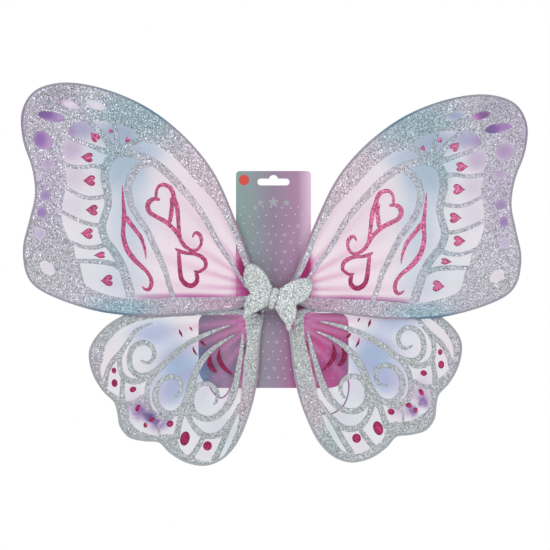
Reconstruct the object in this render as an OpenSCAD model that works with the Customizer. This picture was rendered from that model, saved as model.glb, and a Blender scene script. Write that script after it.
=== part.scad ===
// Child's fairy wings on their hang card: four wire-framed mesh wings, a foam
// butterfly over the hub, two elastic arm loops and a die-cut card.
// X runs to the viewer's right, Z up, and -Y towards the viewer. The origin is the
// centre of the rear face of the back pad, which lies on the wearer's back.

/* [Wings] */
// Diameter of the steel wire in the frames
wire_d = 1.8; // [1.4:0.1:2]
// Thickness of the stretched mesh
mesh_t = 0.4; // [0.3:0.1:0.8]
// Size of the right upper frame, as a share of the left one
right_upper_scale = 0.975; // [0.95:0.005:1]
// How far the right upper wing is raised, in degrees
right_upper_tilt = -2; // [-4:0.5:2]
// How far the right lower wing is raised, in degrees
right_lower_tilt = 3; // [-1:0.5:4]

/* [Hub] */
// Distance between the two fold axes
axis_gap = 24; // [22:0.5:28]
// Length of each steel sleeve
sleeve_h = 18; // [14:1:20]
// Outer diameter of each steel sleeve
sleeve_d = 4.4; // [4:0.1:5]
// Thickness of the felt pad at the wearer's back
pad_t = 2.6; // [2:0.1:3]

/* [Butterfly] */
// Lean of the foam butterfly, in degrees
butterfly_lean = 15; // [0:1:20]
// Thickness of its foam wings
foam_t = 3.5; // [2:0.5:4]
// Space between the sleeves and the foam wings
butterfly_rise = 6.8; // [6:0.2:9]

/* [Straps] */
// Diameter of the round elastic
elastic_d = 1.6; // [1.2:0.1:2]

/* [Card] */
// Width of the card's upper part
card_w = 75; // [70:1:78]
// Width across the two side lobes
lobe_w = 150; // [130:1:160]
// Height of the card's top edge above the origin
card_top = 129; // [110:1:150]
// Thickness of the card
card_t = 0.5; // [0.4:0.1:0.8]

/* [Hidden] */
$fn = 48;
// Running clearance of a pin in its sleeve
pin_gap = 0.05;
// Each wing folds about an upright axis at axis_x, in the plane axis_y
axis_x = axis_gap / 2;
axis_y = -pad_t - 3;
// Upper frames lie this far in front of that plane, and lower ones this far behind it
layer = 0.8 * wire_d;
upper_y = axis_y - layer;
lower_y = axis_y + layer;
sleeve_top = sleeve_h / 2 - 3;
sleeve_bottom = -sleeve_h / 2 - 3;
block_front = axis_y - sleeve_d / 2;
// The butterfly: where its body's middle is, half the body's width, and the foam's faces
butterfly_at = [-1, 2.5];
body_half = 4.4;
foam_back = block_front - butterfly_rise;
foam_front = foam_back - foam_t;
body_front = foam_front - 2.5;
// The pad's half width, its lower and upper edges, and its corners' radius
pad_half = 15;
pad_low = -13;
pad_high = 9;
pad_corner = 5;
// The crimps start at the pad's edge, and the elastic leaves them at crimp_end
crimp_end = 21;
crimp_z = 4;
crimp_wall = 0.3;
strap_y = -1.6;
// Ends of the pins, and the lower ends of the thread wound round each root
upper_pin = [-2, 12];
lower_pin = [-19.5, -4];
upper_tie_z = 7.5;
lower_tie_z = -17;
tie_h = 3;
thread_d = 0.6;
card_x = -1;
card_front = 0.2;
lobe_top = -13;
lobe_bottom = -88;

// Frame outlines as [outward from the fold axis, up], from where each frame meets its pin.
upper_shape = [
    [0, 11], [8, 25], [16, 46], [29, 82], [49, 126], [78, 162], [115, 191],
    [156, 209], [195, 216], [225, 209], [239, 188], [238, 160], [229, 132], [226, 105],
    [232, 78], [238, 50], [232, 21], [208, 4], [160, -11], [107, -15], [54, -11],
    [21, -6.5], [6.5, 3.5]];
lower_shape = [
    [0, -18.5], [10, -12], [30, -8], [73, -5], [114, -8], [142, -18], [160, -31],
    [171, -47], [172, -61], [167, -77], [158, -91], [147.5, -101.5], [144, -113],
    [141.5, -126], [132.5, -136.5], [118, -140], [103, -141.5], [92.5, -151.5],
    [77, -161], [58, -164.5], [41, -158.5], [27.5, -144.5], [18, -125], [9.5, -98],
    [5, -70], [3.5, -42], [1.5, -26]];

// Right-hand half of the butterfly as [outward, up] from the middle of its body.
foam_shape = [
    [4.7, -10], [8, -13.5], [12.5, -18], [17.5, -22], [20, -26.5], [23, -28.5],
    [25.3, -26], [24.8, -20], [26.8, -14], [26, -6], [24, -1.5], [30, 4], [34.5, 12],
    [35, 21], [33, 26], [28, 27.5], [21, 25.5], [13.5, 21], [8, 15.5], [4.7, 10]];

// Route of each elastic as [outward, back, up], from its upper crimp round the card's
// edge, down behind the card in a loop, up again and back to its lower crimp.
right_route = [
    [crimp_end, strap_y, 4], [24, strap_y, 4], [28, strap_y, 2.5],
    [32, strap_y, 1], [36.6, strap_y, -0.5],
    [38.9, -0.7, -1.5], [39.8, 1.6, -2.5], [38.9, 3.9, -4], [36.6, 4.6, -7],
    [35, 3.8, -12], [36.5, 2.6, -21], [44, 2.2, -34], [56, 2.2, -50], [67, 2.2, -65],
    [73.5, 2.2, -80], [74, 2.2, -92], [70, 2.2, -104], [62, 2.2, -111.5],
    [53, 2.2, -114.5], [45, 2.2, -111], [39, 2.2, -99], [35, 2.2, -82],
    [32, 2.2, -62], [30, 2.2, -42], [30, 2.6, -28], [32, 3.8, -17], [35, 4.8, -12.5],
    [37.8, 4.2, -10], [39.8, 1.6, -9], [38.7, -0.9, -8.5], [36, strap_y, -8],
    [32, strap_y, -7], [28, strap_y, -5.5],
    [24, strap_y, -4], [crimp_end, strap_y, -4]];
left_route = [
    [crimp_end, strap_y, 4], [24, strap_y, 4], [28, strap_y, 2.5],
    [33, strap_y, 1], [38.6, strap_y, -0.5],
    [40.9, -0.7, -1.5], [41.8, 1.6, -2.5], [40.9, 3.9, -4], [38.6, 4.6, -7],
    [38, 3.8, -12], [41, 2.6, -21], [48, 2.2, -32], [59, 2.2, -44], [67, 2.2, -58],
    [69, 2.2, -72], [65.5, 2.2, -85], [60, 2.2, -94], [53, 2.2, -98],
    [46.5, 2.2, -92.5], [42, 2.2, -82], [34, 2.2, -68], [25, 2.2, -56],
    [19, 2.2, -43], [20, 2.2, -30], [26, 2.6, -20], [33, 3.8, -14.5],
    [37, 4.8, -12], [39.8, 4.2, -10], [41.8, 1.6, -9], [40.7, -0.9, -8.5],
    [38, strap_y, -8], [33, strap_y, -7], [28, strap_y, -5.5],
    [24, strap_y, -4], [crimp_end, strap_y, -4]];

function unit(v) = v / norm(v);

// One point of a Catmull-Rom curve between b and c.
function spline_point(a, b, c, d, t) =
    0.5 * (2 * b + (c - a) * t + (2 * a - 5 * b + 4 * c - d) * t * t
        + (3 * b - a - 3 * c + d) * t * t * t);

// A smooth loop through all the points.
function closed_spline(p, steps) = let (n = len(p)) [
    for (i = [0 : n - 1], k = [0 : steps - 1])
        spline_point(p[(i + n - 1) % n], p[i], p[(i + 1) % n], p[(i + 2) % n], k / steps)];

// A smooth line from the first point to the last.
function open_spline(p, steps) = let (n = len(p)) concat([
    for (i = [0 : n - 2], k = [0 : steps - 1])
        spline_point(p[max(i - 1, 0)], p[i], p[i + 1], p[min(i + 2, n - 1)], k / steps)],
    [p[n - 1]]);

// A frame's outline on one side: scaled and raised by tilt about its root, and mirrored
// for the left.
function placed(shape, side, tilt, scale) = [
    for (p = shape) let (q = scale * (p - shape[0]))
        [side * (axis_x + q[0] * cos(tilt) - q[1] * sin(tilt)),
            shape[0][1] + q[0] * sin(tilt) + q[1] * cos(tilt)]];

// Directions along a path, and the ring normals carried along it.
function tangents(path, closed) = let (n = len(path)) [
    for (i = [0 : n - 1]) unit(
        closed ? path[(i + 1) % n] - path[(i + n - 1) % n]
            : path[min(i + 1, n - 1)] - path[max(i - 1, 0)])];
function carried(n, t) = unit(n - (n * t) * t);
function normals(ts, first) = [
    for (i = 0, n = carried(first, ts[0]); i < len(ts);
        i = i + 1, n = i < len(ts) ? carried(n, ts[i]) : n) n];

// A round tube of radius r along a path. first is a direction across its first ring.
module tube(path, r, closed, first) {
    sides = 8;
    count = len(path);
    ts = tangents(path, closed);
    ns = normals(ts, first);
    ring = [for (i = [0 : count - 1], k = [0 : sides - 1])
        path[i] + r * (cos(360 * k / sides) * ns[i]
            + sin(360 * k / sides) * cross(ts[i], ns[i]))];
    last = closed ? count - 1 : count - 2;
    walls = [for (i = [0 : last], k = [0 : sides - 1], half = [0, 1])
        let (a = i * sides + k, b = i * sides + (k + 1) % sides,
            c = ((i + 1) % count) * sides + (k + 1) % sides,
            d = ((i + 1) % count) * sides + k)
        half == 0 ? [c, b, a] : [d, c, a]];
    caps = closed ? [] : [
        [for (k = [0 : sides - 1]) k],
        [for (k = [sides - 1 : -1 : 0]) (count - 1) * sides + k]];
    polyhedron(points = ring, faces = concat(walls, caps), convexity = 6);
}

// A flat sheet of thickness t whose front is at y0, from a shape drawn in X and Z.
module slab(y0, t) {
    translate([0, y0 + t, 0]) rotate([90, 0, 0]) linear_extrude(t) children();
}

// A rectangle with round corners.
module round_rect(x0, x1, z0, z1, r) {
    translate([x0 + r, z0]) square([x1 - x0 - 2 * r, z1 - z0]);
    translate([x0, z0 + r]) square([x1 - x0, z1 - z0 - 2 * r]);
    for (x = [x0 + r, x1 - r], z = [z0 + r, z1 - r]) translate([x, z]) circle(r);
}

// ---- Hub ----

module centre_block() {
    color("darkgray") difference() {
        slab(block_front, -pad_t - block_front)
            round_rect(-axis_x, axis_x, sleeve_bottom + 1, sleeve_top - 1, 2);
        for (side = [-1, 1]) translate([side * axis_x, axis_y, sleeve_bottom])
            cylinder(d = sleeve_d, h = sleeve_h);
    }
}

module sleeve(side) {
    color("silver") translate([side * axis_x, axis_y, sleeve_bottom]) difference() {
        cylinder(d = sleeve_d, h = sleeve_h);
        translate([0, 0, -1]) cylinder(d = wire_d + 2 * pin_gap, h = sleeve_h + 2);
    }
}

module back_pad() {
    color("rosybrown") slab(-pad_t, pad_t)
        round_rect(-pad_half, pad_half, pad_low, pad_high, pad_corner);
}

module strap_crimps(side) {
    color("silver") for (z = [-crimp_z, crimp_z])
        translate([side * pad_half, strap_y, z]) rotate([0, side * 90, 0])
            cylinder(d = elastic_d + 2 * crimp_wall, h = crimp_end - pad_half);
}

module strap(side, route) {
    path = [for (p = route) [side * p[0], p[1], p[2]]];
    color("pink") tube(path, elastic_d / 2, false, [0, 1, 0]);
}

// ---- Butterfly ----

module in_butterfly() {
    translate([butterfly_at[0], 0, butterfly_at[1]]) rotate([0, butterfly_lean, 0]) children();
}

module butterfly_mount() {
    color("whitesmoke") in_butterfly() slab(foam_back, butterfly_rise)
        round_rect(-6, 6, -8, 7, 5);
}

module butterfly_body() {
    color("silver") in_butterfly() slab(body_front, foam_back - body_front) {
        round_rect(-body_half, body_half, -7, 10.5, 4);
        translate([0, -8.5]) circle(3.4);
    }
}

module butterfly_wing(side) {
    outline = [for (p = foam_shape) [side * p[0], p[1]]];
    color("silver") in_butterfly() slab(foam_front, foam_t) polygon(open_spline(outline, 3));
}

// ---- Wings ----

// A frame is one loop of wire with a straight pin that turns in the sleeve.
module wire(shape, y, side, tilt, scale, pin) {
    loop = closed_spline(placed(shape, side, tilt, scale), 3);
    color("darkgray") union() {
        tube([for (p = loop) [p[0], y, p[1]]], wire_d / 2, true, [0, 1, 0]);
        translate([side * axis_x, axis_y, pin[0]]) cylinder(d = wire_d, h = pin[1] - pin[0]);
    }
}

module mesh(shape, y, side, tilt, scale, tint) {
    color(tint) slab(y - mesh_t / 2, mesh_t)
        polygon(closed_spline(placed(shape, side, tilt, scale), 3));
}

// Thread wound round the root of a frame, where the mesh is gathered.
module tie(y, side, z) {
    color("orchid") translate([side * axis_x, (y + axis_y) / 2, z])
        cylinder(d = 2 * wire_d + thread_d, h = tie_h);
}

module upper_wire(side, tilt, scale) {
    wire(upper_shape, upper_y, side, tilt, scale, upper_pin);
}

module lower_wire(side, tilt, scale) {
    wire(lower_shape, lower_y, side, tilt, scale, lower_pin);
}

// ---- Card ----

module hang_slot() {
    translate([card_x, card_top - 11]) {
        round_rect(-16, 16, -3.4, 3.4, 3.3);
        translate([0, 2.4]) circle(4.6);
    }
}

module hang_card() {
    color("mediumpurple") slab(card_front, card_t) difference() {
        union() {
            round_rect(card_x - card_w / 2, card_x + card_w / 2, lobe_bottom + 1, card_top, 4);
            round_rect(card_x - lobe_w / 2, card_x + lobe_w / 2, lobe_bottom, lobe_top - 8, 20);
            round_rect(card_x - lobe_w / 2, card_x + lobe_w / 2, lobe_bottom + 30, lobe_top, 10);
        }
        hang_slot();
    }
}

centre_block();
sleeve(-1);  // left_sleeve
sleeve(1);  // right_sleeve
back_pad();
strap_crimps(-1);  // left_strap_crimps
strap_crimps(1);  // right_strap_crimps
strap(-1, left_route);  // left_strap
strap(1, right_route);  // right_strap
butterfly_mount();
butterfly_body();
butterfly_wing(-1);  // butterfly_left_wing
butterfly_wing(1);  // butterfly_right_wing
upper_wire(-1, 0, 1);  // upper_left_wire
mesh(upper_shape, upper_y, -1, 0, 1, "pink");  // upper_left_mesh
tie(upper_y, -1, upper_tie_z);  // upper_left_tie
upper_wire(1, right_upper_tilt, right_upper_scale);  // upper_right_wire
mesh(upper_shape, upper_y, 1, right_upper_tilt, right_upper_scale, "pink");  // upper_right_mesh
tie(upper_y, 1, upper_tie_z);  // upper_right_tie
lower_wire(-1, 0, 1);  // lower_left_wire
mesh(lower_shape, lower_y, -1, 0, 1, "lightblue");  // lower_left_mesh
tie(lower_y, -1, lower_tie_z);  // lower_left_tie
lower_wire(1, right_lower_tilt, 1);  // lower_right_wire
mesh(lower_shape, lower_y, 1, right_lower_tilt, 1, "lightblue");  // lower_right_mesh
tie(lower_y, 1, lower_tie_z);  // lower_right_tie
hang_card();
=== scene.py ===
"""Fairy wings on their hang card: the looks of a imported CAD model.

Shapes are in millimetres, and metres() turns them into Blender's metres. Camera, lamps, stage
and textures are in metres from the start. The wings' decoration is laid out once, on the
viewer's right-hand wings, and carried to the left ones.
"""
import math

import bpy
import numpy as np
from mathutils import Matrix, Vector, noise
from mathutils.geometry import delaunay_2d_cdt


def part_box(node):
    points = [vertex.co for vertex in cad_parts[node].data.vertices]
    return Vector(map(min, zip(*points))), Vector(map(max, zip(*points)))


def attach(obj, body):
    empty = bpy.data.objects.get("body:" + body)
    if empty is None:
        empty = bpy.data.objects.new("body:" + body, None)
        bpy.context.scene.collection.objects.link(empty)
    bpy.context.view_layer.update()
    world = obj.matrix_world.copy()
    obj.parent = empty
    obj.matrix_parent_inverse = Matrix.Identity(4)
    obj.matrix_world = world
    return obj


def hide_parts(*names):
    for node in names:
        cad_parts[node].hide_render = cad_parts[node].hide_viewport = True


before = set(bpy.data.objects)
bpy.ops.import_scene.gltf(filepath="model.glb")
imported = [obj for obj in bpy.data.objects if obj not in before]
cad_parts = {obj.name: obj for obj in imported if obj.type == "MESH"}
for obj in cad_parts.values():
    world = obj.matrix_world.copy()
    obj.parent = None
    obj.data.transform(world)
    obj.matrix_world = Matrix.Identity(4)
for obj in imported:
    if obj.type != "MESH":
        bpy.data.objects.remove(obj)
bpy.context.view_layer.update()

# ---- Sizes that the CAD model has, in millimetres ----

AXIS_X = 12.0                 # the fold axes, outward from the middle
AXIS_Y = -5.6
WIRE_D = 1.8
LAYER = 0.8 * WIRE_D          # the upper frames lie this far in front of the axes
UPPER_ROOT = (12.0, 11.0)     # where an upper frame meets its pin
LOWER_ROOT = (12.0, -18.5)
UPPER_PIN = (-2.0, 12.0)      # the pins' ends
LOWER_PIN = (-19.5, -4.0)
BUTTERFLY_AT = (-1.0, 2.5)
BUTTERFLY_LEAN = 15.0
BODY_HALF = 4.4               # half the width of the butterfly's body
ELASTIC_D = 1.6
CRIMP_END = 21.0
STRAP_Y = -1.6
CARD_FRONT = 0.2

# ---- Sizes that only the looks have ----

SHEET_T = 0.24                # thickness of the sheer mesh
GLITTER_T = 0.42              # how far the silver stands on it
PINK_T = 0.5
UPPER_PRINT = (-2.0, 0.975)   # the turn and size of the right wings' print, against the left's
LOWER_PRINT = (7.0, 1.0)
WHITE_BEHIND = 1.0            # brightness of the background through a clear mesh, linear

RIGHT_ROUTE = [
    (CRIMP_END, STRAP_Y, 4), (24, STRAP_Y, 4), (28, STRAP_Y, 2.5), (32, STRAP_Y, 1),
    (36.6, STRAP_Y, -0.5), (38.9, -0.7, -1.5), (39.8, 1.6, -2.5), (38.9, 3.9, -4),
    (36.6, 4.6, -7), (35, 3.8, -12), (36.5, 2.6, -21), (44, 2.2, -34), (56, 2.2, -50),
    (67, 2.2, -65), (73.5, 2.2, -80), (74, 2.2, -92), (70, 2.2, -104), (62, 2.2, -111.5),
    (53, 2.2, -114.5), (45, 2.2, -111), (39, 2.2, -99), (35, 2.2, -82), (32, 2.2, -62),
    (30, 2.2, -42), (30, 2.6, -28), (32, 3.8, -17), (35, 4.8, -12.5), (37.8, 4.2, -10),
    (39.8, 1.6, -9), (38.7, -0.9, -8.5), (36, STRAP_Y, -8), (32, STRAP_Y, -7),
    (28, STRAP_Y, -5.5), (24, STRAP_Y, -4), (CRIMP_END, STRAP_Y, -4)]
LEFT_ROUTE = [
    (CRIMP_END, STRAP_Y, 4), (24, STRAP_Y, 4), (28, STRAP_Y, 2.5), (33, STRAP_Y, 1),
    (38.6, STRAP_Y, -0.5), (40.9, -0.7, -1.5), (41.8, 1.6, -2.5), (40.9, 3.9, -4),
    (38.6, 4.6, -7), (38, 3.8, -12), (41, 2.6, -21), (48, 2.2, -32), (59, 2.2, -44),
    (67, 2.2, -58), (69, 2.2, -72), (65.5, 2.2, -85), (60, 2.2, -94), (53, 2.2, -98),
    (46.5, 2.2, -92.5), (42, 2.2, -82), (34, 2.2, -68), (25, 2.2, -56), (19, 2.2, -43),
    (20, 2.2, -30), (26, 2.6, -20), (33, 3.8, -14.5), (37, 4.8, -12), (39.8, 4.2, -10),
    (41.8, 1.6, -9), (40.7, -0.9, -8.5), (38, STRAP_Y, -8), (33, STRAP_Y, -7),
    (28, STRAP_Y, -5.5), (24, STRAP_Y, -4), (CRIMP_END, STRAP_Y, -4)]


def metres(points):
    """Points in millimetres, as an array in metres."""
    return np.asarray(points, float) * 0.001


def turn_by(degrees):
    """The matrix that turns columns by some degrees, and rows the other way."""
    c, s = math.cos(math.radians(degrees)), math.sin(math.radians(degrees))
    return np.array([[c, -s], [s, c]])


def show(name, data):
    """A new object in the scene."""
    thing = bpy.data.objects.new(name, data)
    bpy.context.scene.collection.objects.link(thing)
    return thing


# ---- Camera, light and stage ----

def make_camera():
    """A long lens square on to the front, with one millimetre of the wings to each pixel."""
    distance, field = 3.2, 0.55
    data = bpy.data.cameras.new("camera")
    data.sensor_width = 36
    data.lens = data.sensor_width * distance / field
    camera = show("camera", data)
    camera.location = (0.0005, -distance, 0.025)
    camera.rotation_euler = (math.radians(90), 0, 0)
    bpy.context.scene.camera = camera


def area_light(name, place, size, watts):
    """A square white lamp that points at the origin."""
    data = bpy.data.lights.new(name, "AREA")
    data.shape, data.size, data.energy = "SQUARE", size, watts
    light = show(name, data)
    light.location = place
    light.rotation_euler = (-Vector(place)).to_track_quat("-Z", "Y").to_euler()


def make_stage():
    """A round white floor below the wings. The front view looks out above it."""
    height, radius, sides = -0.42, 1.9, 64
    turns = [2 * math.pi * i / sides for i in range(sides)]
    verts = [(radius * math.cos(t), radius * math.sin(t), height) for t in turns]
    mesh = bpy.data.meshes.new("stage")
    mesh.from_pydata(verts, [], [tuple(range(sides))])
    stage = show("stage", mesh)
    material = bpy.data.materials.new("stage_white")
    material.use_nodes = True
    shader = material.node_tree.nodes["Principled BSDF"]
    shader.inputs["Base Color"].default_value = (0.16, 0.16, 0.16, 1)
    shader.inputs["Roughness"].default_value = 0.9
    shader.inputs["Emission Color"].default_value = (1, 1, 1, 1)
    shader.inputs["Emission Strength"].default_value = 0.80
    mesh.materials.append(material)


def make_light():
    """Soft light from all round, which the camera sees as pure white, and three lamps."""
    world = bpy.data.worlds.new("studio")
    world.use_nodes = True
    tree = world.node_tree
    background = tree.nodes["Background"]
    background.inputs["Color"].default_value = (1, 1, 1, 1)
    seen = tree.nodes.new("ShaderNodeLightPath").outputs["Is Camera Ray"]
    strength = tree.nodes.new("ShaderNodeMapRange")
    strength.inputs["To Min"].default_value = 0.46
    strength.inputs["To Max"].default_value = 1.0
    tree.links.new(seen, strength.inputs["Value"])
    tree.links.new(strength.outputs["Result"], background.inputs["Strength"])
    bpy.context.scene.world = world
    area_light("key", (-1.1, -1.9, 1.5), 1.1, 22)
    area_light("fill", (1.4, -1.8, 0.5), 1.4, 10.5)
    area_light("back", (0.6, 2.2, 1.2), 1.4, 14)


# ---- Colour ----

def linear(colour):
    """An sRGB colour, from 0 to 1, as the linear one that Blender works in."""
    c = np.asarray(colour, float)
    return np.where(c <= 0.04045, c / 12.92, ((c + 0.055) / 1.055) ** 2.4)


# ---- Curves ----

def at_depth(flat, y):
    """Places in X and Z as points at one Y, or each at its own."""
    return np.stack([flat[:, 0], np.broadcast_to(y, len(flat)), flat[:, 1]], axis=1)


def signed_area(loop):
    """The area in a loop, negative if the loop runs clockwise."""
    x, z = loop.T
    return (x * np.roll(z, -1) - z * np.roll(x, -1)).sum() / 2


def spline(points, step, closed=False):
    """Points about step apart along a Catmull-Rom curve through the given ones."""
    p = np.asarray(points, float)
    n = len(p)
    out = []
    for i in range(n if closed else n - 1):
        if closed:
            a, b, c, d = p[i - 1], p[i], p[(i + 1) % n], p[(i + 2) % n]
        else:
            a, b, c, d = p[max(i - 1, 0)], p[i], p[i + 1], p[min(i + 2, n - 1)]
        pieces = max(1, int(round(np.linalg.norm(c - b) / step)))
        for k in range(pieces):
            t = k / pieces
            out.append(0.5 * (2 * b + (c - a) * t + (2 * a - 5 * b + 4 * c - d) * t * t
                              + (3 * b - a - 3 * c + d) * t ** 3))
    if not closed:
        out.append(p[-1])
    return np.array(out)


def inside(points, loop):
    """Which of the points lie inside the loop."""
    x, y = points[:, 0], points[:, 1]
    result = np.zeros(len(points), bool)
    for (x0, y0), (x1, y1) in zip(loop, np.roll(loop, -1, axis=0)):
        crosses = (y0 > y) != (y1 > y)
        if y0 != y1:
            result ^= crosses & (x < (x1 - x0) * (y - y0) / (y1 - y0) + x0)
    return result


def distance_to(points, loop):
    """How far each point is from a closed loop, and how far along the loop it comes nearest."""
    best = np.full(len(points), 1e9)
    where = np.zeros(len(points))
    run = 0.0
    for a, b in zip(loop, np.roll(loop, -1, axis=0)):
        ab = b - a
        length = np.linalg.norm(ab)
        t = np.clip(((points - a) @ ab) / max(length ** 2, 1e-12), 0, 1)
        d = np.linalg.norm(points - (a + t[:, None] * ab), axis=1)
        nearer = d < best
        best = np.where(nearer, d, best)
        where = np.where(nearer, run + t * length, where)
        run += length
    return best, where


def run_along(line):
    """How far along a line each of its points is."""
    return np.concatenate([[0], np.cumsum(np.linalg.norm(np.diff(line, axis=0), axis=1))])


def ellipse(x, z, a, b, turn=0.0, count=20):
    """An ellipse with half-lengths a and b, its long side turned by turn degrees."""
    t = np.linspace(0, 2 * math.pi, count, endpoint=False)
    return (x, z) + np.stack([a * np.cos(t), b * np.sin(t)], axis=1) @ turn_by(turn).T


def heart(x, z, size, turn, flat):
    """A heart about size wide, whose tip points along turn."""
    t = np.linspace(0, 2 * math.pi, 26, endpoint=False)
    across = 16 * np.sin(t) ** 3 / 32 * size * flat
    along = -(13 * np.cos(t) - 5 * np.cos(2 * t) - 2 * np.cos(3 * t) - np.cos(4 * t)) / 30 * size
    return (x, z) + np.stack([along, across], axis=1) @ turn_by(turn).T


# ---- Meshes ----

def make_piece(name, verts, faces, material, body, slot, colours=None, smooth=True):
    """A mesh object from vertices in millimetres, riding on a body."""
    mesh = bpy.data.meshes.new(name)
    mesh.from_pydata([tuple(v) for v in metres(verts)], [], [tuple(map(int, f)) for f in faces])
    mesh.validate()
    mesh.polygons.foreach_set("use_smooth", [smooth] * len(mesh.polygons))
    if colours is not None:
        attribute = mesh.color_attributes.new("print", "FLOAT_COLOR", "POINT")
        rgba = np.ones((len(mesh.vertices), 4), np.float32)
        rgba[:, :colours.shape[1]] = colours
        attribute.data.foreach_set("color", rgba.ravel())
    mesh.materials.append(material)
    piece = show(name, mesh)
    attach(piece, body)
    return piece


def triangulate(loops, spacing):
    """Triangles that fill the first loop and leave out the others, and the edges round them."""
    loops = [np.asarray(l, float) for l in loops]
    points, edges = [], []
    for loop in loops:
        start = len(points)
        points += list(loop)
        edges += [(start + i, start + (i + 1) % len(loop)) for i in range(len(loop))]
    low, high = loops[0].min(0), loops[0].max(0)
    gx, gz = np.meshgrid(np.arange(low[0], high[0], spacing), np.arange(low[1], high[1], spacing))
    gx = gx + (np.arange(gx.shape[0]) % 2)[:, None] * spacing / 2
    grid = np.stack([gx.ravel(), gz.ravel()], axis=1)
    keep = inside(grid, loops[0])
    for hole in loops[1:]:
        keep &= ~inside(grid, hole)
    grid = grid[keep]
    for loop in loops:
        grid = grid[distance_to(grid, loop)[0] > 0.5 * spacing]
    points += list(grid)
    found = delaunay_2d_cdt([Vector(p) for p in points], edges, [], 0, 1e-5)
    flat = np.array([v[:] for v in found[0]])
    triangles = np.array([f for f in found[2] if len(f) == 3])
    middle = flat[triangles].mean(axis=1)
    keep = inside(middle, loops[0])
    for hole in loops[1:]:
        keep &= ~inside(middle, hole)
    triangles = triangles[keep]
    a, b, c = (flat[triangles[:, i]] for i in range(3))
    turn = (b[:, 0] - a[:, 0]) * (c[:, 1] - a[:, 1]) - (b[:, 1] - a[:, 1]) * (c[:, 0] - a[:, 0])
    triangles[turn < 0] = triangles[turn < 0][:, ::-1]
    count = {}
    for t in triangles:
        for e in ((t[0], t[1]), (t[1], t[2]), (t[2], t[0])):
            count[e] = count.get(e, 0) + 1
    rim = [e for e in count if (e[1], e[0]) not in count]
    return flat, triangles, rim


def plate(flat, triangles, rim, front_y, back_y):
    """A closed plate: vertices and faces from a triangulation and its two surfaces' Y."""
    n = len(flat)
    faces = [tuple(t) for t in triangles] + [tuple(t[::-1] + n) for t in triangles]
    faces += [(b, a, a + n, b + n) for a, b in rim]
    return np.concatenate([at_depth(flat, front_y), at_depth(flat, back_y)]), faces


def skin(rings, sides, closed=False):
    """The four-sided faces between rings of points, each ring joined to the next."""
    faces = []
    for i in range(rings if closed else rings - 1):
        here, ahead = i * sides, (i + 1) % rings * sides
        for k in range(sides):
            j = (k + 1) % sides
            faces.append((here + k, here + j, ahead + j, ahead + k))
    return faces


def dome(n):
    """Faces for a loop of n points, a second loop above it and a point in their middle."""
    faces = [tuple(range(n))]
    for i in range(n):
        j = (i + 1) % n
        faces += [(i, n + i, n + j, j), (n + i, 2 * n, n + j)]
    return faces


def tube(path, radii, sides, closed, across=(0, 1, 0)):
    """A round tube along a path, with a radius for each of its points."""
    path = np.asarray(path, float)
    n = len(path)
    ahead = np.roll(path, -1, axis=0) if closed else np.concatenate([path[1:], path[-1:]])
    behind = np.roll(path, 1, axis=0) if closed else np.concatenate([path[:1], path[:-1]])
    tangent = ahead - behind
    tangent /= np.linalg.norm(tangent, axis=1)[:, None]
    normal = np.array(across, float)
    verts = []
    turns = np.linspace(0, 2 * math.pi, sides, endpoint=False)
    for i in range(n):
        normal = normal - (normal @ tangent[i]) * tangent[i]
        normal /= np.linalg.norm(normal)
        other = np.cross(tangent[i], normal)
        ring = np.cos(turns)[:, None] * normal + np.sin(turns)[:, None] * other
        verts += list(path[i] + radii[i] * ring)
    faces = [(a, d, c, b) for a, b, c, d in skin(n, sides, closed)]
    if not closed:
        faces.append(tuple(range(sides)))
        faces.append(tuple(range(n * sides - 1, (n - 1) * sides - 1, -1)))
    return np.array(verts), faces


def join(parts):
    """Several (vertices, faces) as one."""
    verts, faces, start = [], [], 0
    for v, f in parts:
        verts.append(np.asarray(v, float))
        faces += [tuple(int(i) + start for i in face) for face in f]
        start += len(v)
    return np.concatenate(verts), faces


def front_loop(node):
    """The outline of a flat CAD node's front face, as a smooth loop in X and Z."""
    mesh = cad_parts[node].data
    co = np.array([v.co[:] for v in mesh.vertices]) * 1000
    front = co[:, 1].min() + 0.01
    key = [(round(x, 3), round(z, 3)) for x, _, z in co]
    uses = {}
    for face in mesh.polygons:
        ids = list(face.vertices)
        if all(co[i, 1] < front for i in ids):
            for a, b in zip(ids, ids[1:] + ids[:1]):
                edge = frozenset((key[a], key[b]))
                uses[edge] = uses.get(edge, 0) + 1
    links = {}
    for edge, count in uses.items():
        if count == 1 and len(edge) == 2:
            a, b = tuple(edge)
            links.setdefault(a, []).append(b)
            links.setdefault(b, []).append(a)
    start = min(links)
    loop, last, here = [start], None, start
    while True:
        following = [k for k in sorted(links[here]) if k != last]
        last, here = here, following[0]
        if here == start:
            return np.array(loop)
        loop.append(here)


# ---- Materials ----

def new_material(name, **constants):
    """A material with one Principled shader, and the numbers that are the same all over it."""
    material = bpy.data.materials.new(name)
    material.use_nodes = True
    shader = material.node_tree.nodes["Principled BSDF"]
    for socket, value in constants.items():
        shader.inputs[socket.replace("_", " ")].default_value = value
    return material, material.node_tree, shader


def add(tree, kind, settings=None, **inputs):
    """A node, with its settings and its inputs: each a constant or another node's output."""
    node = tree.nodes.new(kind)
    for key, value in (settings or {}).items():
        setattr(node, key, value)
    for key, value in inputs.items():
        socket = node.inputs[int(key[1:]) if key[0] == "i" and key[1:].isdigit() else key]
        if isinstance(value, bpy.types.NodeSocket):
            tree.links.new(value, socket)
        else:
            socket.default_value = value
    return node


def place_of(tree):
    """The point's place in the row frame, which rides with the piece."""
    return add(tree, "ShaderNodeTexCoord").outputs["Object"]


def maths(tree, operation, a, b, clamp=False):
    """One sum on two numbers, each a constant or an output."""
    settings = {"operation": operation, "use_clamp": clamp}
    return add(tree, "ShaderNodeMath", settings, i0=a, i1=b).outputs[0]


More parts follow.
